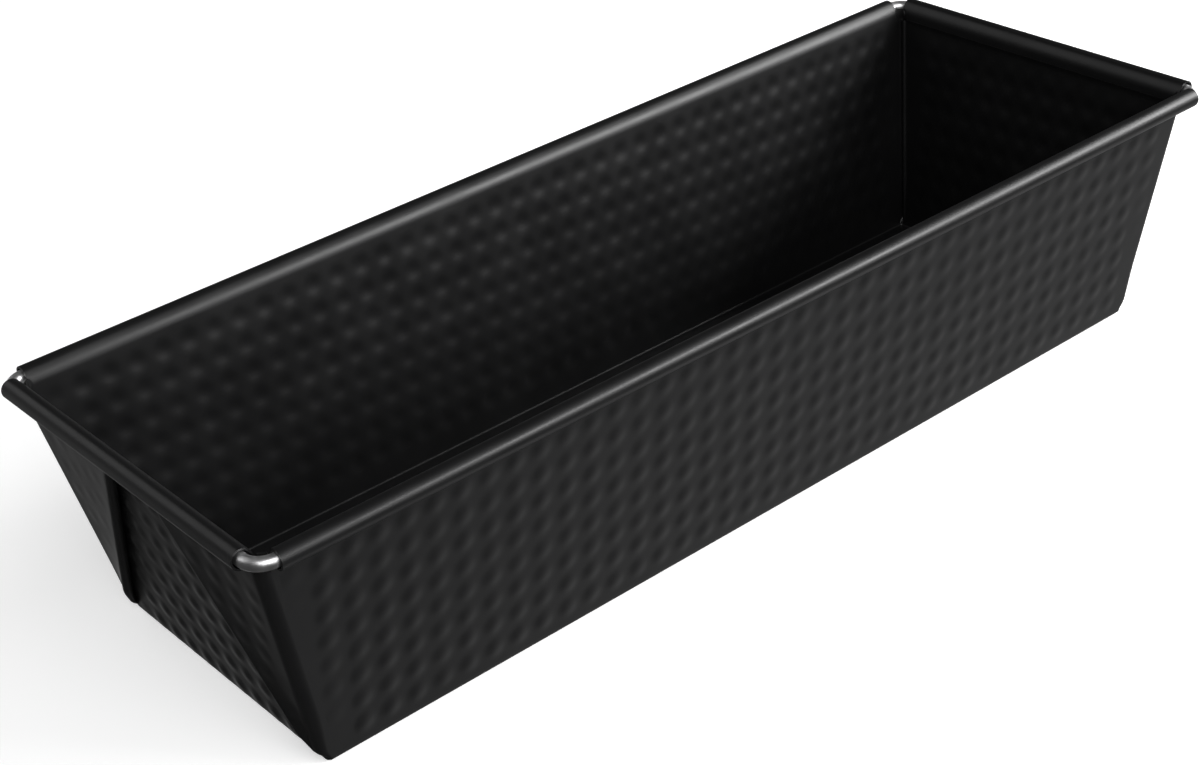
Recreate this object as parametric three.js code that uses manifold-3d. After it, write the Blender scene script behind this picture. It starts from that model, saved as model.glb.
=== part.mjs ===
// Folded steel loaf tin: one sheet blank folded up like a parcel, with its rim rolled over a steel wire.
// Millimetres, +Z up, +X along the tin. The origin is on the surface that the tin stands on, under its centre.
// The folded blank is modelled as flat panels, corner folds and rim rolls, which a fine gap separates.

import * as THREE from 'three';
import { mergeVertices } from 'three/addons/utils/BufferGeometryUtils.js';
import Module from 'manifold-3d';

const wasm = await Module();
wasm.setup();

// ---- Driving dimensions ----
const RIM_LENGTH = 301; // over the rolled rim, along X
const RIM_WIDTH = 112.6; // over the rolled rim, along Y
const HEIGHT = 67.3; // from the underside of the floor to the top of the rim
const BASE_LENGTH = 268; // outside of the end walls, where they would meet the floor
const BASE_WIDTH = 83.5; // outside of the long walls, where they would meet the floor
const SHEET = 0.5; // thickness of the steel sheet
const GAP = 0.3; // clearance between neighbouring panels and layers
const ROLL_RADIUS = 2.5; // outside of the rolled rim
const ROLL_SWEEP = THREE.MathUtils.degToRad(300); // how far the sheet rolls round the wire
const WIRE_RADIUS = 1.6;
const WIRE_BEND = 5; // radius of the wire's centre line at the rim corners
const COVERED_BEND = 1.5; // how far a rim roll reaches past the start of the wire's bend
const FLOOR_BEND = 3; // outside radius of the bend between the floor and a wall
const CORNER_BEND = 4; // outside radius of the upright bend at a corner
const ARC_SEGMENTS = 10; // facets on a bend
const ROLL_SEGMENTS = 24; // facets round a rim roll
const WIRE_SIDES = 16;
const WIRE_BEND_STEPS = 8;

// ---- Derived sizes ----
const ROLL_HEIGHT = HEIGHT - ROLL_RADIUS; // centre of the rim wire
const FOLD_TOP = ROLL_HEIGHT - ROLL_RADIUS - GAP; // the corner folds stop just under the rim rolls
const FOLD_STACK = 2 * (GAP + SHEET); // a corner fold's two layers, lying on the end wall
const HAIRPIN = 2 * SHEET + GAP; // thickness of a corner fold on its own
const LONG_HALF = { foot: BASE_WIDTH / 2, roll: RIM_WIDTH / 2 - ROLL_RADIUS };
const END_HALF = { foot: BASE_LENGTH / 2, roll: RIM_LENGTH / 2 - ROLL_RADIUS };

// A wall leans so that its sheet runs straight into the rim roll.
function leanOf({ foot, roll }) {
  const chord = Math.hypot(roll - foot, ROLL_HEIGHT);
  return Math.atan2(roll - foot, ROLL_HEIGHT) - Math.asin((ROLL_RADIUS - SHEET) / chord);
}
const LONG_LEAN = leanOf(LONG_HALF);
const END_LEAN = leanOf(END_HALF);

// Angles, from upright, of the corner edge as it lies in a long wall and in an end wall. The rest of the
// right angle is the blank's corner, which is folded in half.
const EDGE_IN_LONG_WALL = Math.atan(Math.tan(END_LEAN) * Math.cos(LONG_LEAN));
const EDGE_IN_END_WALL = Math.atan(Math.tan(LONG_LEAN) * Math.cos(END_LEAN));
const LEAF_ANGLE = (Math.PI / 2 - EDGE_IN_LONG_WALL - EDGE_IN_END_WALL) / 2;
const FOLD_ANGLE = LEAF_ANGLE - EDGE_IN_END_WALL; // of a corner fold's free edge, from upright

const SHEET_LOOK = { color: 0x1b1b1c, roughness: 0.38, metalness: 0.3 };
const WIRE_LOOK = { color: 0xb9babc, roughness: 0.25, metalness: 1.0 };

// ---- Solids from three.js geometries ----
function solidOf(geometry) {
  const bare = geometry.clone();
  bare.deleteAttribute('normal');
  bare.deleteAttribute('uv');
  const merged = mergeVertices(bare, 1e-4);
  const vertProperties = Float32Array.from(merged.attributes.position.array);
  const triVerts = Uint32Array.from(merged.index.array);
  return new wasm.Manifold(new wasm.Mesh({ numProp: 3, vertProperties, triVerts }));
}

function geometryOf(solid) {
  const { numProp, vertProperties, triVerts } = solid.getMesh();
  const geometry = new THREE.BufferGeometry();
  geometry.setAttribute('position', new THREE.BufferAttribute(vertProperties, numProp));
  geometry.setIndex(new THREE.BufferAttribute(triVerts, 1));
  geometry.computeVertexNormals();
  return geometry;
}

function placed(geometry, xAxis, yAxis, zAxis, origin) {
  const frame = new THREE.Matrix4().makeBasis(xAxis, yAxis, zAxis).setPosition(origin);
  return geometry.applyMatrix4(frame);
}

function extruded(shape, depth, curveSegments = ARC_SEGMENTS) {
  return new THREE.ExtrudeGeometry(shape, { depth, curveSegments, bevelEnabled: false });
}

function outline(points) {
  return new THREE.Shape(points.map(([x, y]) => new THREE.Vector2(x, y)));
}

// The same piece on another side: turned inside out where one mirror swaps left and right.
function mirrored(geometry, sideX, sideY) {
  const copy = geometry.clone().applyMatrix4(new THREE.Matrix4().makeScale(sideX, sideY, 1));
  if (sideX * sideY < 0) {
    const index = copy.getIndex() ?? new THREE.BufferAttribute(
      Uint32Array.from({ length: copy.attributes.position.count }, (_, i) => i), 1);
    for (let i = 0; i < index.count; i += 3) {
      const first = index.getX(i);
      index.setX(i, index.getX(i + 1));
      index.setX(i + 1, first);
    }
    copy.setIndex(index);
  }
  copy.computeVertexNormals();
  return copy;
}

// ---- Walls: the floor bend and the leaning sheet above it ----
// The section lies in a plane of outward distance and height.
function wallSection({ foot, roll }, lean) {
  const turn = Math.PI / 2 - lean;
  const bendAt = foot - FLOOR_BEND * Math.tan(turn / 2);
  const along = new THREE.Vector2(Math.sin(lean), Math.cos(lean));
  const inward = new THREE.Vector2(-Math.cos(lean), Math.sin(lean));
  const centre = new THREE.Vector2(roll, ROLL_HEIGHT);
  const innerTop = centre.clone().addScaledVector(inward, ROLL_RADIUS).addScaledVector(along, -GAP);
  const outerTop = innerTop.clone().addScaledVector(inward, -SHEET);
  const section = new THREE.Shape();
  section.moveTo(bendAt, 0);
  section.absarc(bendAt, FLOOR_BEND, FLOOR_BEND, -Math.PI / 2, -lean, false);
  section.lineTo(outerTop.x, outerTop.y);
  section.lineTo(innerTop.x, innerTop.y);
  section.absarc(bendAt, FLOOR_BEND, FLOOR_BEND - SHEET, -lean, -Math.PI / 2, true);
  section.closePath();
  return section;
}

// A wall faces along one axis, and runs along another that makes a right-handed frame with it.
function facing(outward) {
  const up = new THREE.Vector3(0, 0, 1);
  return { outward, up, along: new THREE.Vector3().crossVectors(outward, up) };
}

// A wall is its section drawn along the wall, trimmed to a trapezium seen from outside. The half
// widths are those at the foot and at the height of the rim wire.
function trimmedWall(section, footHalf, rimHalf, { outward, up, along }) {
  const start = along.clone().multiplyScalar(-rimHalf - ROLL_RADIUS);
  const bar = placed(extruded(section, 2 * (rimHalf + ROLL_RADIUS)), outward, up, along, start);
  const spread = (rimHalf - footHalf) / ROLL_HEIGHT;
  const halfAt = (height) => footHalf + spread * height;
  const [below, above] = [-FLOOR_BEND, HEIGHT];
  const trapezium = outline([
    [-halfAt(below), below], [halfAt(below), below], [halfAt(above), above], [-halfAt(above), above]]);
  const outside = outward.clone().multiplyScalar(RIM_LENGTH);
  const prism = placed(extruded(trapezium, RIM_LENGTH), along, up, outward.clone().negate(), outside);
  return geometryOf(solidOf(bar).intersect(solidOf(prism)));
}

// The upright corner bend: how far it turns, and how far from the corner edge it starts.
const CORNER_TURN = Math.acos(Math.sin(LONG_LEAN) * Math.sin(END_LEAN));
const CORNER_TANGENT = CORNER_BEND * Math.tan(CORNER_TURN / 2);

function longWall() {
  const edgeFoot = END_HALF.foot + FOLD_STACK / Math.cos(END_LEAN);
  const edgeRim = edgeFoot + ROLL_HEIGHT * Math.tan(END_LEAN);
  const back = (CORNER_TANGENT + GAP) / Math.cos(EDGE_IN_LONG_WALL);
  const section = wallSection(LONG_HALF, LONG_LEAN);
  return trimmedWall(section, edgeFoot - back, edgeRim - back, facing(new THREE.Vector3(0, 1, 0)));
}

// An end wall reaches into the corner bend as far as the bend's round inside lets it.
function endWall() {
  const inside = CORNER_BEND - SHEET - GAP;
  const depth = CORNER_BEND - FOLD_STACK;
  const clear = CORNER_BEND - Math.sqrt(inside * inside - depth * depth);
  const edgeRim = LONG_HALF.foot + ROLL_HEIGHT * Math.tan(LONG_LEAN);
  const back = (clear + GAP) / Math.cos(EDGE_IN_END_WALL);
  const section = wallSection(END_HALF, END_LEAN);
  return trimmedWall(section, LONG_HALF.foot - back, edgeRim - back, facing(new THREE.Vector3(1, 0, 0)));
}

// ---- Floor ----
function floorPanel() {
  const bendReach = (lean) => FLOOR_BEND * Math.tan((Math.PI / 2 - lean) / 2) + GAP;
  const halfX = BASE_LENGTH / 2 - bendReach(END_LEAN);
  const halfY = BASE_WIDTH / 2 - bendReach(LONG_LEAN);
  return extruded(outline([[-halfX, -halfY], [halfX, -halfY], [halfX, halfY], [-halfX, halfY]]), SHEET);
}

// ---- Corner fold at +X +Y: the upright bend, and the doubled leaf that lies on the end wall ----
function cornerFold() {
  const edgeFoot = new THREE.Vector3(END_HALF.foot + FOLD_STACK / Math.cos(END_LEAN), LONG_HALF.foot, 0);
  const edge = new THREE.Vector3(Math.tan(END_LEAN), Math.tan(LONG_LEAN), 1).normalize();
  const leafNormal = new THREE.Vector3(Math.cos(END_LEAN), 0, -Math.sin(END_LEAN));
  const leafUp = new THREE.Vector3(Math.sin(END_LEAN), 0, Math.cos(END_LEAN));
  const inward = leafNormal.clone().negate();
  const across = new THREE.Vector3(0, -1, 0);
  const upright = uprightBend(edgeFoot, edge, leafNormal);
  const leaf = doubledLeaf(edgeFoot, across, leafUp, inward);

  // Both stop at the floor's underside and just under the rim.
  const block = outline([[0, 0], [RIM_LENGTH, 0], [RIM_LENGTH, RIM_WIDTH], [0, RIM_WIDTH]]);
  return geometryOf(upright.add(leaf).intersect(solidOf(extruded(block, FOLD_TOP))));
}

// The bend's section lies square to the corner edge, with its first axis along the leaf's normal.
function uprightBend(edgeFoot, edge, leafNormal) {
  const sideways = new THREE.Vector3().crossVectors(edge, leafNormal);
  const centre = edgeFoot.clone()
    .addScaledVector(edge, -CORNER_BEND)
    .addScaledVector(leafNormal, -CORNER_BEND)
    .addScaledVector(sideways, -CORNER_TANGENT);
  const section = new THREE.Shape();
  section.moveTo(CORNER_BEND, -SHEET);
  section.absarc(0, 0, CORNER_BEND, 0, CORNER_TURN, false);
  section.absarc(0, 0, CORNER_BEND - SHEET, CORNER_TURN, 0, true);
  section.lineTo(CORNER_BEND - SHEET, -SHEET);
  section.closePath();
  return solidOf(placed(extruded(section, HEIGHT + 2 * CORNER_BEND), leafNormal, sideways, edge, centre));
}

// A hairpin section drawn along the leaf's free fold edge, trimmed where the upright bend starts.
function doubledLeaf(edgeFoot, across, leafUp, inward) {
  const foldEdge = across.clone().multiplyScalar(Math.sin(FOLD_ANGLE))
    .addScaledVector(leafUp, Math.cos(FOLD_ANGLE));
  const toCorner = new THREE.Vector3().crossVectors(inward, foldEdge);
  const nose = HAIRPIN / 2;
  const reach = RIM_WIDTH;
  const section = new THREE.Shape();
  section.moveTo(reach, 0);
  section.lineTo(nose, 0);
  section.absarc(nose, nose, nose, -Math.PI / 2, Math.PI / 2, true);
  section.lineTo(reach, HAIRPIN);
  section.lineTo(reach, HAIRPIN - SHEET);
  section.lineTo(nose, HAIRPIN - SHEET);
  section.absarc(nose, nose, nose - SHEET, Math.PI / 2, -Math.PI / 2, false);
  section.lineTo(reach, SHEET);
  section.closePath();
  const hairpin = placed(extruded(section, RIM_WIDTH), toCorner, inward, foldEdge, edgeFoot);

  const startAt = (height) => (CORNER_TANGENT / Math.cos(EDGE_IN_END_WALL)
    - height * Math.tan(EDGE_IN_END_WALL));
  const [below, above] = [-FLOOR_BEND, RIM_WIDTH];
  const kept = outline([
    [startAt(below), below], [RIM_WIDTH, below], [RIM_WIDTH, above], [startAt(above), above]]);
  const keptFrom = edgeFoot.clone().addScaledVector(inward, -FOLD_STACK);
  const trimmer = placed(extruded(kept, 3 * FOLD_STACK), across, leafUp, inward, keptFrom);
  return solidOf(hairpin).intersect(solidOf(trimmer));
}

// ---- Rim rolls: the sheet rolled outward over the wire ----
function rimRoll({ roll }, lean, halfLength, { outward, up, along }) {
  const from = Math.PI - lean;
  const to = from - ROLL_SWEEP;
  const section = new THREE.Shape();
  section.absarc(roll, ROLL_HEIGHT, ROLL_RADIUS, from, to, true);
  section.absarc(roll, ROLL_HEIGHT, ROLL_RADIUS - SHEET, to, from, false);
  section.closePath();
  const start = along.clone().multiplyScalar(-halfLength);
  return placed(extruded(section, 2 * halfLength, ROLL_SEGMENTS), outward, up, along, start);
}

// ---- Rim wire: a rounded rectangle whose two ends butt inside the back roll ----
class RimLoop extends THREE.Curve {
  constructor() {
    super();
    const x = END_HALF.roll - WIRE_BEND;
    const y = LONG_HALF.roll - WIRE_BEND;
    const corners = [[-x, y], [-x, -y], [x, -y], [x, y]];
    this.points = [new THREE.Vector3(-GAP / 2, LONG_HALF.roll, ROLL_HEIGHT)];
    corners.forEach(([cx, cy], corner) => {
      for (let step = 0; step <= WIRE_BEND_STEPS; step += 1) {
        const angle = (Math.PI / 2) * (1 + corner + step / WIRE_BEND_STEPS);
        this.points.push(new THREE.Vector3(
          cx + WIRE_BEND * Math.cos(angle), cy + WIRE_BEND * Math.sin(angle), ROLL_HEIGHT));
      }
    });
    this.points.push(new THREE.Vector3(GAP / 2, LONG_HALF.roll, ROLL_HEIGHT));
    this.steps = this.points.length - 1;
  }

  getPoint(t, target = new THREE.Vector3()) {
    const place = Math.min(t, 1) * this.steps;
    const before = Math.min(Math.floor(place), this.steps - 1);
    return target.copy(this.points[before]).lerp(this.points[before + 1], place - before);
  }

  // One step for each point, so that the long straights take one step and the bends take several.
  getUtoTmapping(u) {
    return u;
  }
}

function rimWire() {
  const loop = new RimLoop();
  const circle = new THREE.Shape();
  circle.absarc(0, 0, WIRE_RADIUS, 0, 2 * Math.PI, false);
  return new THREE.ExtrudeGeometry(circle, {
    steps: loop.steps, curveSegments: WIRE_SIDES / 2, extrudePath: loop,
  });
}

// ---- Assembly ----
const tin = new THREE.Group();

function add(name, geometry, look) {
  const mesh = new THREE.Mesh(geometry, new THREE.MeshStandardMaterial({ ...look, name: `${name}_finish` }));
  mesh.name = name;
  tin.add(mesh);
}

add('floor_panel', floorPanel(), SHEET_LOOK);

const backWall = longWall();
add('back_wall', backWall, SHEET_LOOK);
add('front_wall', mirrored(backWall, 1, -1), SHEET_LOOK);

const rightEnd = endWall();
add('right_end_wall', rightEnd, SHEET_LOOK);
add('left_end_wall', mirrored(rightEnd, -1, 1), SHEET_LOOK);

const corner = cornerFold();
for (const [lengthwise, sideX] of [['left', -1], ['right', 1]]) {
  for (const [widthwise, sideY] of [['front', -1], ['back', 1]]) {
    add(`${widthwise}_${lengthwise}_corner_fold`, mirrored(corner, sideX, sideY), SHEET_LOOK);
  }
}

const backRoll = rimRoll(LONG_HALF, LONG_LEAN, END_HALF.roll - WIRE_BEND + COVERED_BEND,
  facing(new THREE.Vector3(0, 1, 0)));
add('back_rim_roll', backRoll, SHEET_LOOK);
add('front_rim_roll', mirrored(backRoll, 1, -1), SHEET_LOOK);

const rightRoll = rimRoll(END_HALF, END_LEAN, LONG_HALF.roll - WIRE_BEND + COVERED_BEND,
  facing(new THREE.Vector3(1, 0, 0)));
add('right_rim_roll', rightRoll, SHEET_LOOK);
add('left_rim_roll', mirrored(rightRoll, -1, 1), SHEET_LOOK);

add('rim_wire', rimWire(), WIRE_LOOK);

export default tin;
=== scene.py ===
"""Looks of the folded loaf tin: embossed black sheet, rolled rim and bright rim wire.

Everything is in metres, in the part's own frame: +X along the tin, +Z up, and the base on z = 0.
The tin is one sheet blank round one wire. Each piece of the blank is built as the sheet's middle
surface, as a grid of points, which is then given its thickness and its pressed dimples.
"""

import math

import bpy
import numpy as np
from mathutils import Matrix, Vector


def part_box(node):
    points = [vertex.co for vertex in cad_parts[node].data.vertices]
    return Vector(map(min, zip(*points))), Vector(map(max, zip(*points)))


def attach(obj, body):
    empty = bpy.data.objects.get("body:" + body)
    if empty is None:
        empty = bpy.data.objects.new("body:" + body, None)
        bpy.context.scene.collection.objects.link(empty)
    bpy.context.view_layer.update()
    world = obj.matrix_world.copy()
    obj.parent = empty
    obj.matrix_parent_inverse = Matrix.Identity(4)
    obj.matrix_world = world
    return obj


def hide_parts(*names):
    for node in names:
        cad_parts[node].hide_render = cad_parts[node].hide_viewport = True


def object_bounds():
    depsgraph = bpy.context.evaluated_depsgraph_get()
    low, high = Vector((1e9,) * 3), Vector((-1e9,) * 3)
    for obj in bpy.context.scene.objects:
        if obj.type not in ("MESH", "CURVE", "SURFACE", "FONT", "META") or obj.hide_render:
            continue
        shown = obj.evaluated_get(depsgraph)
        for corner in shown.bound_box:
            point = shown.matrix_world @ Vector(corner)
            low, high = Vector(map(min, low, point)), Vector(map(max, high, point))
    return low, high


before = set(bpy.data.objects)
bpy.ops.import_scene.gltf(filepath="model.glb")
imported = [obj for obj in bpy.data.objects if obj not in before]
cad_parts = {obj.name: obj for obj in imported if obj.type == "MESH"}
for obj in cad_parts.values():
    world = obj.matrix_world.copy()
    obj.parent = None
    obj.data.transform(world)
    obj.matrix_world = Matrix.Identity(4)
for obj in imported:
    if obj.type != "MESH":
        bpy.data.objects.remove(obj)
cad_low, cad_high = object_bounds()

MM = 0.001

# ---- Sizes read from the frame ----
wire_low, wire_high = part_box("rim_wire")
roll_low, roll_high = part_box("back_rim_roll")
WIRE_RADIUS = (wire_high.z - wire_low.z) / 2
ROLL_RADIUS = (roll_high.z - roll_low.z) / 2
ROLL_HEIGHT = cad_high.z - ROLL_RADIUS
LONG_ROLL = cad_high.y - ROLL_RADIUS
END_ROLL = cad_high.x - ROLL_RADIUS

# ---- Sizes of the folded blank ----
SHEET = 0.5 * MM
BASE_HALF_LENGTH = 134.0 * MM  # to the line where an end wall's outside would meet the ground
BASE_HALF_WIDTH = 41.75 * MM  # the same for a long wall
FLOOR_BEND = 1.2 * MM  # outer radius of the bend from the floor to a wall
SEAM_INSET = 4.2 * MM  # where a long wall's grid hands over to the end's grid
FLOOR_STRIP = 0.6 * MM  # flat strip of a wall's grid, beside the floor's grid
ROLL_STRIP = 1.0 * MM  # straight foot of a rim roll's grid

# ---- Upright corners and corner folds ----
# Each pair is the height where a change starts, and how far up it takes.
CORNER_BEND = 2.9 * MM  # outer radius of an upright corner
LEAST_CORNER = 1.8 * MM  # its middle radius at the foot
CORNER_WIDENS = (2.0 * MM, 14.0 * MM)
LAYER_STEP = 0.75 * MM  # between the middles of two layers that lie on each other
TIGHT_FOLD = 0.2 * MM  # least radius of a fold or a corner
FOLD_BULGE = 1.0 * MM  # radius of a corner fold's free edge, which is not pressed flat
BULGE_WIDENS = (1.0 * MM, 9.0 * MM)
FOLD_STARTS = (0.8 * MM, 3.2 * MM)  # below this, the corner is round and not folded
LEAST_LEAF = 0.3 * MM  # the narrowest a leaf gets, at its foot
CORNER_TOP = 65.3 * MM  # the sheet's edge behind the bare wire of a corner
TUCK_FROM = 61.9 * MM  # from here up, the corner tucks in behind the wire
TUCK_TO = 63.4 * MM
LEAF_TOP = 61.7 * MM
STRETCH_FROM = 55.0 * MM  # above this, a corner's rows close up or stretch to reach its uneven top
NOSE_TURN = math.radians(48)  # how far round the corner the end wall's own edge reaches

# ---- Rim ----
FLARE_RADIUS = 5.5 * MM  # the wall flares out in this bend before it rolls over the wire
FLARE_LEAN = math.radians(45)
ROLL_END_TURN = math.radians(-128)  # where the roll's edge ends, under the wire
WIRE_BEND = 5.0 * MM
# Where each roll starts and ends along its side, going anticlockwise: the wire is bare between them.
FRONT_ROLL_ENDS = (-143.2 * MM, 145.0 * MM)
BACK_ROLL_ENDS = (-143.0 * MM, 143.6 * MM)
LEFT_ROLL_ENDS = (-50.5 * MM, 48.5 * MM)
RIGHT_ROLL_ENDS = (-50.0 * MM, 50.0 * MM)

# ---- Embossing ----
PITCH = 7.18 * MM
DIMPLE_RADIUS = 3.2 * MM
DIMPLE_DEPTH = 0.30 * MM
LONG_COLUMN_AT = -2.0 * MM  # x of one column of dimples, on the floor and the long walls
FRONT_ROW_AT = 6.6 * MM  # one row of dimples, measured up the slant of the wall
BACK_ROW_AT = 8.9 * MM
END_ROW_AT = 3.6 * MM
SMOOTH_RIM = 3.0 * MM  # plain band under the rim
RIM_REACH = 0.75  # how far the fading dimples reach into it, in half pitches
SMOOTH_CORNER = 7.0 * MM  # plain band beside an upright corner
CORNER_REACH = 0.35  # how far the fading dimples reach into it, in pitches
FLOOR_FADE = 1.0 * MM  # over this, the dimples at the floor's border fade in
FRONT_LEAF_PRESSING = 0.55  # the corner folds are flattened, the back ones almost smooth
BACK_LEAF_PRESSING = 0.25
LEAF_DIMPLES_START = (6.0 * MM, 4.0 * MM)  # they fade in from this height, over this much

FLOOR_HEIGHT = DIMPLE_DEPTH + SHEET / 2  # the floor's middle surface: its dimples touch z = 0

# ---- Fineness of the grids ----
CELL = PITCH / 8  # spacing on the embossed surfaces
BEND_ROWS = 9  # up the bend from the floor
SPREAD_COLUMNS = 19  # at each end of a long wall, where the columns spread to meet its slanted end
SPREAD_CELLS = 6  # how far in that starts, at the foot
STRIP_COLUMNS = 7  # from the seam to the corner bend
BEND_COLUMNS = 10
LEAF_COLUMNS = 38
FOLD_COLUMNS = 8
HIDDEN_COLUMNS = 14
NOSE_COLUMNS = 6
END_COLUMNS = 54  # half an end wall
FLARE_POINTS = 12
ROLL_POINTS = 40
ROLL_STEP = 2.0 * MM
WIRE_SIDES = 28
WIRE_BEND_POINTS = 25
WIRE_STEP = 8.0 * MM
SHARP_EDGE = math.radians(50)

# ---- Camera, fitted to the outline of the tin in the photo ----
CAMERA_AZIMUTH = -37.08
CAMERA_ELEVATION = 30.25
CAMERA_ROLL = -5.79
CAMERA_RIGHT = -16.66 * MM
CAMERA_UP = 17.59 * MM
CAMERA_AWAY = 583.28 * MM
CAMERA_LENS = 66.88

# ---- Studio; azimuths are in degrees from +X towards +Y ----
AMBIENT = 0.04  # brightness of the dim studio all round
# Azimuth, elevation, radius (degrees) and brightness of each lit part of the surroundings.
GLOWS = (
    (340, -46, 30, 0.46),
    (105, -7, 31, 0.36),
    (52, -35, 40, 0.50),
)
# Name, azimuth, elevation, distance, width, height and brightness of each softbox.
SOFTBOXES = (
    ("key_softbox", 343, 23, 1.2, 0.60, 0.50, 15.0),
    ("front_softbox", 309, 24, 1.2, 0.65, 0.26, 18.0),
    ("low_front_softbox", 300, 7, 1.2, 1.0, 0.28, 2.5),
    ("back_softbox", 125, 38, 1.3, 1.4, 0.7, 0.8),
    ("camera_side_softbox", 250, 42, 1.3, 1.1, 1.0, 3.0),
)


# ---- Walls ----
FIRST_LEAN = 0.15  # a wall's lean depends on where its flare starts, so it is found by going round
LEAN_ROUNDS = 20


class Wall:
    """The section of a wall: the bend from the floor, the straight sheet above it, and the flare."""

    def __init__(self, foot, roll):
        self.foot = foot
        self.roll = roll
        self.lean = FIRST_LEAN
        for _ in range(LEAN_ROUNDS):
            self.flare_from_roll()
            across = self.flare_out - foot + SHEET / 2 / math.cos(self.lean)
            self.lean = math.atan2(across, self.flare_start)
        self.flare_from_roll()
        self.radius = FLOOR_BEND - SHEET / 2
        self.plane = foot * math.cos(self.lean) - SHEET / 2
        bend_height = FLOOR_HEIGHT + self.radius
        inset = self.plane - self.radius + bend_height * math.sin(self.lean)
        self.bend_at = inset / math.cos(self.lean)
        self.bend_top = bend_height - self.radius * math.sin(self.lean)

    def outward(self, z):
        """How far out the middle of the sheet is at each height."""
        z = np.asarray(z, float)
        drop = np.clip(FLOOR_HEIGHT + self.radius - z, 0, self.radius)
        on_bend = self.bend_at + np.sqrt(self.radius**2 - drop**2)
        on_plane = (self.plane + z * math.sin(self.lean)) / math.cos(self.lean)
        return np.where(z < self.bend_top, on_bend, on_plane)

    def slant(self, z):
        """Distance up the wall, from the line where it would meet the ground."""
        return z / math.cos(self.lean)

    def flare_from_roll(self):
        """Where the flare has to start for it to run into the rim roll."""
        radius = ROLL_RADIUS - SHEET / 2
        climb = FLARE_RADIUS * (math.sin(FLARE_LEAN) - math.sin(self.lean))
        reach = FLARE_RADIUS * (math.cos(self.lean) - math.cos(FLARE_LEAN))
        self.flare_start = ROLL_HEIGHT + radius * math.sin(FLARE_LEAN) - climb
        self.flare_out = self.roll - radius * math.cos(FLARE_LEAN) - reach


LONG = Wall(BASE_HALF_WIDTH, LONG_ROLL)
END = Wall(BASE_HALF_LENGTH, END_ROLL)

# Angles, from upright, of the corner edge in each wall and of a corner fold's free edge.
EDGE_IN_LONG = math.atan(math.tan(END.lean) * math.cos(LONG.lean))
EDGE_IN_END = math.atan(math.tan(LONG.lean) * math.cos(END.lean))
FOLD_ANGLE = (math.pi / 2 - EDGE_IN_LONG - EDGE_IN_END) / 2 - EDGE_IN_END


def smooth(t):
    """0 below 0, 1 above 1, and an even S between."""
    t = np.clip(t, 0, 1)
    return t * t * (3 - 2 * t)


def rise(height, start_and_reach):
    """How far along, from 0 to 1, a change is that starts at one height and takes a given reach."""
    start, reach = start_and_reach
    return float(smooth((height - start) / reach))


def heights():
    """The heights of the rows, shared by all walls, from the floor to the foot of the rim roll."""
    turns = np.linspace(0, math.pi / 2 - END.lean, BEND_ROWS)
    bend = FLOOR_HEIGHT + LONG.radius * (1 - np.cos(turns))
    top = min(LONG.flare_start, END.flare_start) - ROLL_STRIP
    count = int(round((top - bend[-1]) / CELL))
    return np.concatenate([bend, np.linspace(bend[-1], top, count + 1)[1:]])


HEIGHTS = heights()
WALL_TOP = HEIGHTS[-1]


# ---- Dimples ----
def dimples(u, v, u_at, v_at, strength):
    """Depth of the pressing at (u, v) on a sheet. strength(u, v) is read at each dimple's centre."""
    centre_u = u_at + np.round((u - u_at) / PITCH) * PITCH
    centre_v = v_at + np.round((v - v_at) / PITCH) * PITCH
    away = np.hypot(u - centre_u, v - centre_v) / DIMPLE_RADIUS
    bowl = np.clip(1 - away**2, 0, 1) ** 2
    return DIMPLE_DEPTH * bowl * strength(centre_u, centre_v)


def below_rim(rim, up):
    """1 on the wall, 0 in the plain band under the rim."""
    return smooth((rim - SMOOTH_RIM - up) / (PITCH / 2) + RIM_REACH)


def long_wall_lift(x, z, row_at):
    """Depth of a long wall's dimples. The lowest row that is pressed keeps clear of the floor's bend."""
    edge_foot = BASE_HALF_LENGTH + 2 * LAYER_STEP
    rim = LONG.slant(WALL_TOP)

    def strength(u, v):
        to_corner = edge_foot + v * math.tan(EDGE_IN_LONG) - np.abs(u)
        beside = smooth((to_corner - SMOOTH_CORNER) / PITCH + CORNER_REACH)
        return beside * below_rim(rim, v) * (v > DIMPLE_RADIUS)

    return dimples(x, LONG.slant(z), LONG_COLUMN_AT, row_at, strength)


def end_wall_lift(y, z):
    """Depth of an end wall's dimples."""
    rim = END.slant(WALL_TOP)

    def strength(u, v):
        to_corner = BASE_HALF_WIDTH + v * math.tan(EDGE_IN_END) - np.abs(u)
        beside = smooth((to_corner - SMOOTH_CORNER / 2) / PITCH)
        return beside * below_rim(rim, v) * (v > DIMPLE_RADIUS)

    return dimples(y, END.slant(z), 0.0, END_ROW_AT, strength)


def leaf_lift(from_edge, z, row_at, pressing):
    """A corner fold's outer leaf carries on the long wall's pattern, turned about the bottom corner."""
    up = END.slant(z)
    across = from_edge - up * math.tan(EDGE_IN_END)
    reach = np.hypot(across, up)
    turn = EDGE_IN_LONG + np.arctan2(across, up) + EDGE_IN_END
    u = BASE_HALF_LENGTH + reach * np.sin(turn)
    v = reach * np.cos(turn)
    far_turn = EDGE_IN_LONG + EDGE_IN_END + FOLD_ANGLE
    rim = LEAF_TOP - SMOOTH_RIM / 2

    def strength(cu, cv):
        bearing = np.arctan2(cu - BASE_HALF_LENGTH, cv)
        span = np.hypot(cu - BASE_HALF_LENGTH, cv)
        to_fold = span * np.sin(far_turn - bearing)
        to_bend = span * np.sin(bearing - EDGE_IN_LONG) - CORNER_BEND
        height = span * np.cos(bearing - EDGE_IN_LONG - EDGE_IN_END)
        inside = smooth(to_fold / DIMPLE_RADIUS) * smooth(to_bend / DIMPLE_RADIUS)
        return pressing * inside * smooth((rim - height) / DIMPLE_RADIUS)

    return dimples(u, v, LONG_COLUMN_AT, row_at, strength)


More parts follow.
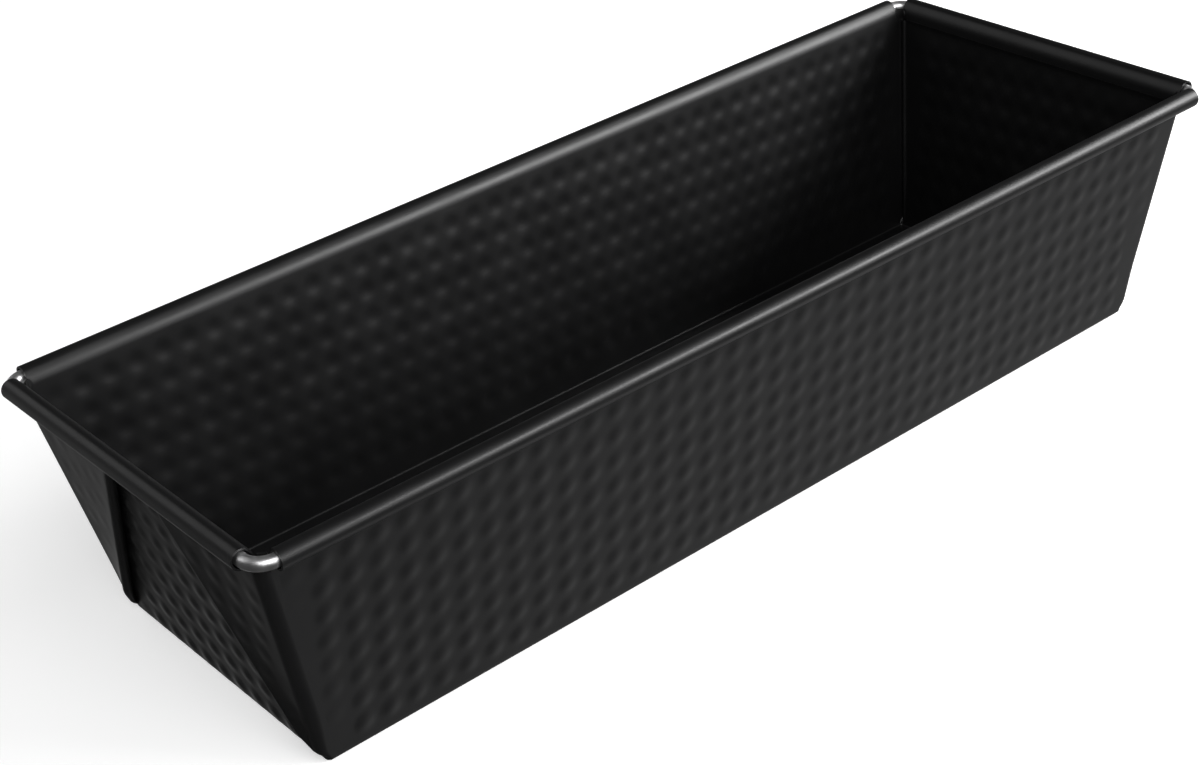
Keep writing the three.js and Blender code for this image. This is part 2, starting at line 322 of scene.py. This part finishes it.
# ---- From a grid of points to a piece ----
def unit(v):
    """Vectors of the same direction, one long."""
    return v / np.maximum(np.linalg.norm(v, axis=-1, keepdims=True), 1e-12)


def grid_normals(mid):
    """Normals of a grid of points, towards the sheet's outer side."""
    along = np.gradient(mid, axis=1)
    up = np.gradient(mid, axis=0)
    return unit(np.cross(along, up))


def shell_faces(rows, columns):
    """Faces of a closed sheet: its outer grid, its inner grid, and its four edges."""
    index = np.arange(rows * columns).reshape(rows, columns)
    a, b = index[:-1, :-1], index[:-1, 1:]
    c, d = index[1:, 1:], index[1:, :-1]
    outer = np.stack([a, b, c, d], -1).reshape(-1, 4)
    inner = outer[:, ::-1] + rows * columns
    rim = np.concatenate([index[0, :-1], index[:-1, -1], index[-1, :0:-1], index[:0:-1, 0]])
    after = np.roll(rim, -1)
    under = rows * columns
    edges = np.stack([rim, rim + under, after + under, after], -1)
    return np.concatenate([outer, inner, edges])


def mesh_of(name, points, faces):
    """A smooth-shaded mesh object from arrays of points and four-cornered faces."""
    mesh = bpy.data.meshes.new(name)
    mesh.vertices.add(len(points))
    mesh.vertices.foreach_set("co", np.asarray(points, np.float32).ravel())
    mesh.loops.add(faces.size)
    mesh.loops.foreach_set("vertex_index", faces.astype(np.int32).ravel())
    mesh.polygons.add(len(faces))
    mesh.polygons.foreach_set("loop_start", np.arange(0, faces.size, 4, dtype=np.int32))
    mesh.update(calc_edges=True)
    mesh.validate()
    mesh.shade_smooth()
    mesh.set_sharp_from_angle(angle=SHARP_EDGE)
    piece = bpy.data.objects.new(name, mesh)
    bpy.context.scene.collection.objects.link(piece)
    return piece


def sheet_piece(name, mid, lift, flipped=False):
    """A piece of sheet from its middle surface. lift moves it along its normal, as the dimples do."""
    if flipped:
        mid = mid[:, ::-1]
        lift = lift[:, ::-1]
    normals = grid_normals(mid)
    pressed = mid + normals * lift[..., None]
    outer = pressed + normals * (SHEET / 2)
    inner = pressed - normals * (SHEET / 2)
    rows, columns = lift.shape
    points = np.concatenate([outer.reshape(-1, 3), inner.reshape(-1, 3)])
    return mesh_of(name, points, shell_faces(rows, columns))


# ---- Long walls ----
def seam_x(z):
    """Where a long wall's grid ends, beside the corner edge."""
    return BASE_HALF_LENGTH + 2 * LAYER_STEP + z * math.tan(END.lean) - SEAM_INSET


def wall_rows(wall):
    """Height and outward distance of each row, with the flat strip on the floor first."""
    z = np.concatenate([[FLOOR_HEIGHT], HEIGHTS])
    out = np.concatenate([[wall.bend_at - FLOOR_STRIP], wall.outward(HEIGHTS)])
    return z, out


def long_wall(name, side, row_at):
    """side is -1 for the front wall and 1 for the back one."""
    z, out = wall_rows(LONG)
    core_half = math.floor(seam_x(0) / CELL - SPREAD_CELLS) * CELL
    core = np.arange(-core_half, core_half + CELL / 2, CELL)
    spread = np.linspace(0, 1, SPREAD_COLUMNS + 1)[1:]
    ends = seam_x(z)[:, None] - core_half
    right = core_half + ends * spread
    x = np.concatenate([-right[:, ::-1], np.broadcast_to(core, (len(z), len(core))), right], 1)
    y = np.broadcast_to(side * out[:, None], x.shape)
    mid = np.stack([x, y, np.broadcast_to(z[:, None], x.shape)], -1)
    lift = long_wall_lift(x, z[:, None], row_at)
    return sheet_piece(name, mid, lift, flipped=side > 0)


# ---- Ends: end wall, upright corners and corner folds, all one run of sheet ----
def run(start, end, count):
    """count points from start to end, leaving out the end."""
    return np.linspace(start, end, count, endpoint=False)


def arc(centre, radius, start, end, count):
    """Points on a circle, leaving out the end."""
    angles = run(start, end, count)
    return np.stack([centre[0] + radius * np.cos(angles), centre[1] + radius * np.sin(angles)], -1)


def straight(start, end, count):
    """Points on a line, leaving out the end."""
    return run(np.asarray(start, float), np.asarray(end, float), count)


def folded_corner(z):
    """The sheet at one height, seen from above, from a long wall round the corner fold to the end
    wall's middle, in the corner at +X +Y."""
    tuck = float(smooth((z - TUCK_FROM) / (TUCK_TO - TUCK_FROM)))
    out_x = float(END.outward(z)) + 2 * LAYER_STEP * (1 - tuck)
    out_y = float(LONG.outward(z))
    bend = LEAST_CORNER + (CORNER_BEND - SHEET / 2 - LEAST_CORNER) * rise(z, CORNER_WIDENS)
    bulge = TIGHT_FOLD + (FOLD_BULGE - TIGHT_FOLD) * rise(z, BULGE_WIDENS)
    centre = (out_x - bend, out_y - bend)
    fold_y = BASE_HALF_WIDTH - END.slant(z) * math.tan(FOLD_ANGLE) + bulge
    fold_y = min(fold_y, centre[1] - LEAST_LEAF)
    swell = 2 * bulge - LAYER_STEP
    leaf = straight((out_x, centre[1]), (out_x, fold_y), LEAF_COLUMNS)
    leaf[:, 0] += swell * np.linspace(0, 1, LEAF_COLUMNS, endpoint=False) ** 2
    fold_centre = (out_x + swell - bulge, fold_y)
    hidden_x = out_x - LAYER_STEP
    nose_reach = bend - 1.5 * LAYER_STEP
    nose = (centre[0] + nose_reach * math.cos(NOSE_TURN), centre[1] + nose_reach * math.sin(NOSE_TURN))
    return np.concatenate([
        straight((seam_x(z), out_y), (centre[0], out_y), STRIP_COLUMNS),
        arc(centre, bend, math.pi / 2, 0, BEND_COLUMNS),
        leaf,
        arc(fold_centre, bulge, 0, -math.pi, FOLD_COLUMNS),
        straight((hidden_x, fold_y), (hidden_x, centre[1]), HIDDEN_COLUMNS),
        arc(centre, bend - LAYER_STEP, 0, NOSE_TURN, NOSE_COLUMNS),
        arc(nose, LAYER_STEP / 2, NOSE_TURN, NOSE_TURN + math.pi, NOSE_COLUMNS),
        arc(centre, bend - 2 * LAYER_STEP, NOSE_TURN, 0, NOSE_COLUMNS),
        np.linspace((out_x - 2 * LAYER_STEP, centre[1]), (out_x - 2 * LAYER_STEP, 0), END_COLUMNS + 1),
    ])


def plain_corner(z, out_x, out_y):
    """The sheet near the floor, where the fold has not started: one round corner."""
    room = min(out_x - END.bend_at, out_y - LONG.bend_at, LEAST_CORNER)
    radius = TIGHT_FOLD + room * (z > FLOOR_HEIGHT)
    centre = (out_x - radius, out_y - radius)
    folded = BEND_COLUMNS + LEAF_COLUMNS + FOLD_COLUMNS + HIDDEN_COLUMNS + 3 * NOSE_COLUMNS
    return np.concatenate([
        straight((seam_x(z), out_y), (centre[0], out_y), STRIP_COLUMNS),
        arc(centre, radius, math.pi / 2, 0, folded),
        np.linspace((out_x, centre[1]), (out_x, 0), END_COLUMNS + 1),
    ])


def column_tops():
    """How high each column of a corner reaches: up behind the bare wire, and lower beside it."""
    round_bend = (np.arange(BEND_COLUMNS) + 0.5) / BEND_COLUMNS
    rounding = smooth(4 * np.minimum(round_bend, 1 - round_bend))
    tops = [
        np.full(STRIP_COLUMNS, WALL_TOP),
        WALL_TOP + (CORNER_TOP - WALL_TOP) * rounding,
        np.full(LEAF_COLUMNS + FOLD_COLUMNS + HIDDEN_COLUMNS, LEAF_TOP),
        np.full(3 * NOSE_COLUMNS, LEAF_TOP),
        np.full(END_COLUMNS + 1, WALL_TOP),
    ]
    return np.concatenate(tops)


def end_quarter(row_at, pressing):
    """Middle surface and dimples of half an end, in the corner at +X +Y."""
    tops = column_tops()
    floor_row = plain_corner(FLOOR_HEIGHT, END.bend_at - FLOOR_STRIP, LONG.bend_at - FLOOR_STRIP)
    rows = [np.column_stack([floor_row, np.full(len(tops), FLOOR_HEIGHT)])]
    for height in HEIGHTS:
        above = (height - STRETCH_FROM) * (tops - STRETCH_FROM) / (WALL_TOP - STRETCH_FROM)
        z = np.where(height > STRETCH_FROM, STRETCH_FROM + above, height)
        rows.append(np.column_stack([corner_plan(z, rise(height, FOLD_STARTS)), z]))
    row_heights = np.concatenate([[FLOOR_HEIGHT], HEIGHTS])
    lifts = [end_quarter_lift(row, h, row_at, pressing) for row, h in zip(rows, row_heights)]
    return np.array(rows), np.array(lifts)


def end_quarter_lift(row, height, row_at, pressing):
    """Dimples along one row of points of half an end."""
    x, y, z = row.T
    lift = np.zeros(len(z))
    strip = slice(0, STRIP_COLUMNS)
    leaf = slice(STRIP_COLUMNS + BEND_COLUMNS, STRIP_COLUMNS + BEND_COLUMNS + LEAF_COLUMNS)
    wall = slice(len(z) - END_COLUMNS - 1, len(z))
    from_edge = LONG.outward(z) - y
    lift[strip] = long_wall_lift(x[strip], z[strip], row_at)
    lift[leaf] = leaf_lift(from_edge[leaf], z[leaf], row_at, pressing) * rise(height, LEAF_DIMPLES_START)
    lift[wall] = end_wall_lift(y[wall], z[wall])
    return lift


def corner_plan(z, share):
    """Plan points of one row, whose columns may be at different heights. share is how folded it is."""
    plan = np.zeros((len(z), 2))
    for height in np.unique(z):
        chosen = z == height
        plain = plain_corner(height, float(END.outward(height)), float(LONG.outward(height)))
        full = folded_corner(height) if share > 0 else plain
        plan[chosen] = ((1 - share) * plain + share * full)[chosen]
    return plan


def tin_end(name, side):
    """side is -1 for the left end and 1 for the right one."""
    back, back_lift = end_quarter(BACK_ROW_AT, BACK_LEAF_PRESSING)
    front, front_lift = end_quarter(FRONT_ROW_AT, FRONT_LEAF_PRESSING)
    front = front * (1, -1, 1)
    mid = np.concatenate([back, front[:, -2::-1]], 1) * (side, 1, 1)
    lift = np.concatenate([back_lift, front_lift[:, -2::-1]], 1)
    return sheet_piece(name, mid, lift, flipped=side > 0)


# ---- Floor ----
def floor_sheet(name):
    """The embossed floor, inside the flat strips of the walls."""
    half_x = END.bend_at - FLOOR_STRIP
    half_y = LONG.bend_at - FLOOR_STRIP
    x = np.linspace(-half_x, half_x, int(2 * half_x / CELL) + 1)
    y = np.linspace(-half_y, half_y, int(2 * half_y / CELL) + 1)
    grid_x, grid_y = np.meshgrid(x, y)

    def strength(u, v):
        inside = np.minimum(half_x - np.abs(u), half_y - np.abs(v))
        return smooth((inside - DIMPLE_RADIUS) / FLOOR_FADE)

    lift = dimples(grid_x, grid_y, LONG_COLUMN_AT, 0.0, strength)
    mid = np.stack([grid_x, grid_y, np.full_like(grid_x, FLOOR_HEIGHT)], -1)
    return sheet_piece(name, mid, lift, flipped=True)


# ---- Rim rolls ----
def roll_section(wall):
    """Middle of the sheet from the wall's top, over the wire and round it, as (outward, height)."""
    foot = (float(wall.outward(WALL_TOP)), WALL_TOP)
    leans = np.linspace(wall.lean, FLARE_LEAN, FLARE_POINTS, endpoint=False)
    flare_out = wall.flare_out + FLARE_RADIUS * (math.cos(wall.lean) - np.cos(leans))
    flare_z = wall.flare_start + FLARE_RADIUS * (np.sin(leans) - math.sin(wall.lean))
    angles = np.linspace(math.pi - FLARE_LEAN, ROLL_END_TURN, ROLL_POINTS)
    radius = ROLL_RADIUS - SHEET / 2
    rolled = np.stack([wall.roll + radius * np.cos(angles), ROLL_HEIGHT + radius * np.sin(angles)], -1)
    return np.concatenate([[foot], np.stack([flare_out, flare_z], -1), rolled])


def rim_roll(name, wall, ends, place):
    """place(along, out, z) puts a point of the roll in the frame."""
    section = roll_section(wall)
    low_end, high_end = ends
    along = np.linspace(low_end, high_end, int((high_end - low_end) / ROLL_STEP) + 1)
    out = np.broadcast_to(section[:, :1], (len(section), len(along)))
    z = np.broadcast_to(section[:, 1:], out.shape)
    run_along = np.broadcast_to(along, out.shape)
    mid = place(run_along, out, z)
    return sheet_piece(name, mid, np.zeros(out.shape))


# The four sides. along runs anticlockwise round the tin, seen from above.
def front_side(along, out, z):
    return np.stack([along, -out, z], -1)


def back_side(along, out, z):
    return np.stack([-along, out, z], -1)


def left_side(along, out, z):
    return np.stack([-out, -along, z], -1)


def right_side(along, out, z):
    return np.stack([out, along, z], -1)


# ---- Rim wire ----
def wire_path():
    """Centre line of the closed wire loop, with close points in its bends."""
    corner_x = END_ROLL - WIRE_BEND
    corner_y = LONG_ROLL - WIRE_BEND
    bends = []
    for turn, (sx, sy) in enumerate([(1, 1), (-1, 1), (-1, -1), (1, -1)]):
        centre = (sx * corner_x, sy * corner_y)
        angles = math.pi / 2 * (turn + np.linspace(0, 1, WIRE_BEND_POINTS))
        bends.append(np.stack([centre[0] + WIRE_BEND * np.cos(angles),
                               centre[1] + WIRE_BEND * np.sin(angles)], -1))
    points = []
    for bend, following in zip(bends, bends[1:] + bends[:1]):
        points.append(bend[:-1])
        count = int(np.linalg.norm(following[0] - bend[-1]) / WIRE_STEP)
        points.append(straight(bend[-1], following[0], count))
    return np.concatenate(points)


def rim_wire(name):
    """A round wire along the loop, closed on itself."""
    centre = wire_path()
    ahead = unit(np.roll(centre, -1, 0) - np.roll(centre, 1, 0))
    sideways = np.stack([ahead[:, 1], -ahead[:, 0]], -1)
    angles = 2 * math.pi * np.arange(WIRE_SIDES) / WIRE_SIDES
    plan = centre[:, None] + sideways[:, None] * (WIRE_RADIUS * np.cos(angles))[None, :, None]
    z = np.broadcast_to(ROLL_HEIGHT + WIRE_RADIUS * np.sin(angles), plan.shape[:2])
    points = np.concatenate([plan, z[..., None]], -1).reshape(-1, 3)
    ring = np.arange(len(centre))[:, None] * WIRE_SIDES
    next_ring = (np.arange(len(centre))[:, None] + 1) % len(centre) * WIRE_SIDES
    side = np.arange(WIRE_SIDES)[None, :]
    next_side = (side + 1) % WIRE_SIDES
    faces = np.stack([ring + side, ring + next_side, next_ring + next_side, next_ring + side], -1)
    return mesh_of(name, points, faces.reshape(-1, 4))


# ---- Materials ----
def new_material(name):
    material = bpy.data.materials.new(name)
    material.use_nodes = True
    nodes = material.node_tree.nodes
    return material, nodes, material.node_tree.links, nodes["Principled BSDF"]


def noise(nodes, links, source, scale, detail=2.0, roughness=0.5):
    node = nodes.new("ShaderNodeTexNoise")
    node.inputs["Scale"].default_value = scale
    node.inputs["Detail"].default_value = detail
    node.inputs["Roughness"].default_value = roughness
    links.new(source, node.inputs["Vector"])
    return node.outputs["Fac"]


def remap(nodes, links, value, low, high, from_low=0.3, from_high=0.7):
    node = nodes.new("ShaderNodeMapRange")
    node.inputs["From Min"].default_value = from_low
    node.inputs["From Max"].default_value = from_high
    node.inputs["To Min"].default_value = low
    node.inputs["To Max"].default_value = high
    links.new(value, node.inputs["Value"])
    return node.outputs["Result"]


def bump(nodes, links, height, distance):
    node = nodes.new("ShaderNodeBump")
    node.inputs["Distance"].default_value = distance
    node.inputs["Strength"].default_value = 1.0
    links.new(height, node.inputs["Height"])
    return node.outputs["Normal"]


def mottle(nodes, links, shader, fac, dark, light):
    """Base colour that wanders between two greys."""
    tone = nodes.new("ShaderNodeMix")
    tone.data_type = "RGBA"
    tone.inputs[6].default_value = dark
    tone.inputs[7].default_value = light
    links.new(fac, tone.inputs[0])
    links.new(tone.outputs[2], shader.inputs["Base Color"])


def coated_sheet():
    """Satin black non-stick coating: a fine orange peel, and a slightly uneven gloss."""
    material, nodes, links, shader = new_material("coated_sheet")
    place = nodes.new("ShaderNodeTexCoord").outputs["Object"]
    shader.inputs["Specular IOR Level"].default_value = 0.375
    shades = noise(nodes, links, place, 90, 3)
    mottle(nodes, links, shader, shades, (0.0040, 0.0040, 0.0042, 1), (0.0060, 0.0060, 0.0062, 1))
    patches = noise(nodes, links, place, 60, 4, 0.55)
    links.new(remap(nodes, links, patches, 0.32, 0.40), shader.inputs["Roughness"])
    peel = noise(nodes, links, place, 1600, 2)
    links.new(bump(nodes, links, peel, 0.006 * MM), shader.inputs["Normal"])
    return material


def bright_wire():
    """Drawn steel wire: bright, with soft blotches and fine scratches."""
    material, nodes, links, shader = new_material("bright_wire")
    place = nodes.new("ShaderNodeTexCoord").outputs["Object"]
    shader.inputs["Metallic"].default_value = 1.0
    shades = noise(nodes, links, place, 450, 3)
    mottle(nodes, links, shader, shades, (0.70, 0.70, 0.71, 1), (0.92, 0.92, 0.92, 1))
    patches = noise(nodes, links, place, 700, 3)
    links.new(remap(nodes, links, patches, 0.32, 0.46), shader.inputs["Roughness"])
    scratches = noise(nodes, links, place, 2200, 3)
    links.new(bump(nodes, links, scratches, 0.02 * MM), shader.inputs["Normal"])
    return material


# ---- Camera, floor and light ----
def add_camera():
    """The camera at the photo's angle."""
    azimuth = math.radians(CAMERA_AZIMUTH)
    elevation = math.radians(CAMERA_ELEVATION)
    roll = math.radians(CAMERA_ROLL)
    back = Vector((math.sin(azimuth) * math.cos(elevation),
                   -math.cos(azimuth) * math.cos(elevation), math.sin(elevation)))
    level = Vector((math.cos(azimuth), math.sin(azimuth), 0))
    upward = back.cross(level)
    right = math.cos(roll) * level + math.sin(roll) * upward
    up = math.cos(roll) * upward - math.sin(roll) * level
    camera = bpy.data.objects.new("camera", bpy.data.cameras.new("camera"))
    bpy.context.scene.collection.objects.link(camera)
    turn = Matrix((right, up, back)).transposed()
    place = CAMERA_RIGHT * right + CAMERA_UP * up + CAMERA_AWAY * back
    camera.matrix_world = Matrix.Translation(place) @ turn.to_4x4()
    camera.data.sensor_width = 36
    camera.data.lens = CAMERA_LENS
    camera.data.clip_start = 0.01
    bpy.context.scene.camera = camera


def add_floor():
    """A pale floor that shines a little. The tin doesn't mirror it, but the glows in its place."""
    half = 4.0
    corners = np.array([(-half, -half, 0), (half, -half, 0), (half, half, 0), (-half, half, 0)])
    floor = mesh_of("studio_floor", corners, np.array([[0, 1, 2, 3]]))
    material, nodes, links, shader = new_material("pale_floor")
    place = nodes.new("ShaderNodeTexCoord").outputs["Object"]
    shades = noise(nodes, links, place, 3, 2)
    mottle(nodes, links, shader, shades, (0.88, 0.88, 0.88, 1), (0.90, 0.90, 0.90, 1))
    shader.inputs["Roughness"].default_value = 0.9
    shader.inputs["Specular IOR Level"].default_value = 0.1
    shader.inputs["Emission Color"].default_value = (1, 1, 1, 1)
    shader.inputs["Emission Strength"].default_value = 0.5
    floor.data.materials.append(material)
    floor.visible_glossy = False
    floor.visible_shadow = False


def toward(azimuth, elevation):
    """Unit vector; azimuth is in degrees from +X towards +Y."""
    azimuth, elevation = math.radians(azimuth), math.radians(elevation)
    level = math.cos(elevation)
    return Vector((level * math.cos(azimuth), level * math.sin(azimuth), math.sin(elevation)))


def add_softbox(name, azimuth, elevation, distance, width, height, brightness):
    """A rectangular softbox that faces the tin. brightness is that of its face."""
    lamp = bpy.data.lights.new(name, "AREA")
    lamp.shape = "RECTANGLE"
    lamp.size = width
    lamp.size_y = height
    lamp.energy = brightness * math.pi * width * height
    light = bpy.data.objects.new(name, lamp)
    bpy.context.scene.collection.objects.link(light)
    light.location = toward(azimuth, elevation) * distance
    light.rotation_mode = "QUATERNION"
    light.rotation_quaternion = light.location.to_track_quat("Z", "Y")
    light.visible_camera = False


def add_glow(nodes, links, direction, azimuth, elevation, spread, brightness):
    """A round, soft-edged light patch on the studio's surroundings; spread is its radius in degrees."""
    aim = nodes.new("ShaderNodeVectorMath")
    aim.operation = "DOT_PRODUCT"
    aim.inputs[1].default_value = toward(azimuth, elevation)
    links.new(direction, aim.inputs[0])
    edge, core = math.cos(math.radians(spread)), math.cos(math.radians(spread / 3))
    return remap(nodes, links, aim.outputs["Value"], 0.0, brightness, edge, core)


def add_world():
    """A dim studio, with soft patches of light below the horizon that the walls mirror."""
    world = bpy.data.worlds.new("studio")
    world.use_nodes = True
    nodes, links = world.node_tree.nodes, world.node_tree.links
    direction = nodes.new("ShaderNodeTexCoord").outputs["Generated"]
    total = None
    for glow in GLOWS:
        add = nodes.new("ShaderNodeMath")
        add.inputs[0].default_value = AMBIENT
        if total is not None:
            links.new(total, add.inputs[0])
        links.new(add_glow(nodes, links, direction, *glow), add.inputs[1])
        total = add.outputs[0]
    background = nodes["Background"]
    background.inputs["Color"].default_value = (1, 1, 1, 1)
    links.new(total, background.inputs["Strength"])
    bpy.context.scene.world = world
    bpy.context.scene.view_settings.view_transform = "Standard"


def finish_piece(piece, material, slot, *nodes):
    """Material, body and the CAD nodes that the piece stands in for. slot is not used."""
    piece.data.materials.append(material)
    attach(piece, "root")
    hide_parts(*nodes)


# ---- Assembly ----
def build():
    sheet = coated_sheet()
    wire = bright_wire()

    def coated(piece, *nodes):
        finish_piece(piece, sheet, "coated_sheet", *nodes)

    coated(floor_sheet("floor_sheet"), "floor_panel")
    coated(long_wall("front_wall_sheet", -1, FRONT_ROW_AT), "front_wall")
    coated(long_wall("back_wall_sheet", 1, BACK_ROW_AT), "back_wall")
    coated(tin_end("left_end_sheet", -1),
           "left_end_wall", "front_left_corner_fold", "back_left_corner_fold")
    coated(tin_end("right_end_sheet", 1),
           "right_end_wall", "front_right_corner_fold", "back_right_corner_fold")
    coated(rim_roll("front_roll", LONG, FRONT_ROLL_ENDS, front_side), "front_rim_roll")
    coated(rim_roll("back_roll", LONG, BACK_ROLL_ENDS, back_side), "back_rim_roll")
    coated(rim_roll("left_roll", END, LEFT_ROLL_ENDS, left_side), "left_rim_roll")
    coated(rim_roll("right_roll", END, RIGHT_ROLL_ENDS, right_side), "right_rim_roll")
    finish_piece(rim_wire("rim_wire_loop"), wire, "bright_wire", "rim_wire")


build()
add_camera()
add_floor()
add_world()
for softbox in SOFTBOXES:
    add_softbox(*softbox)
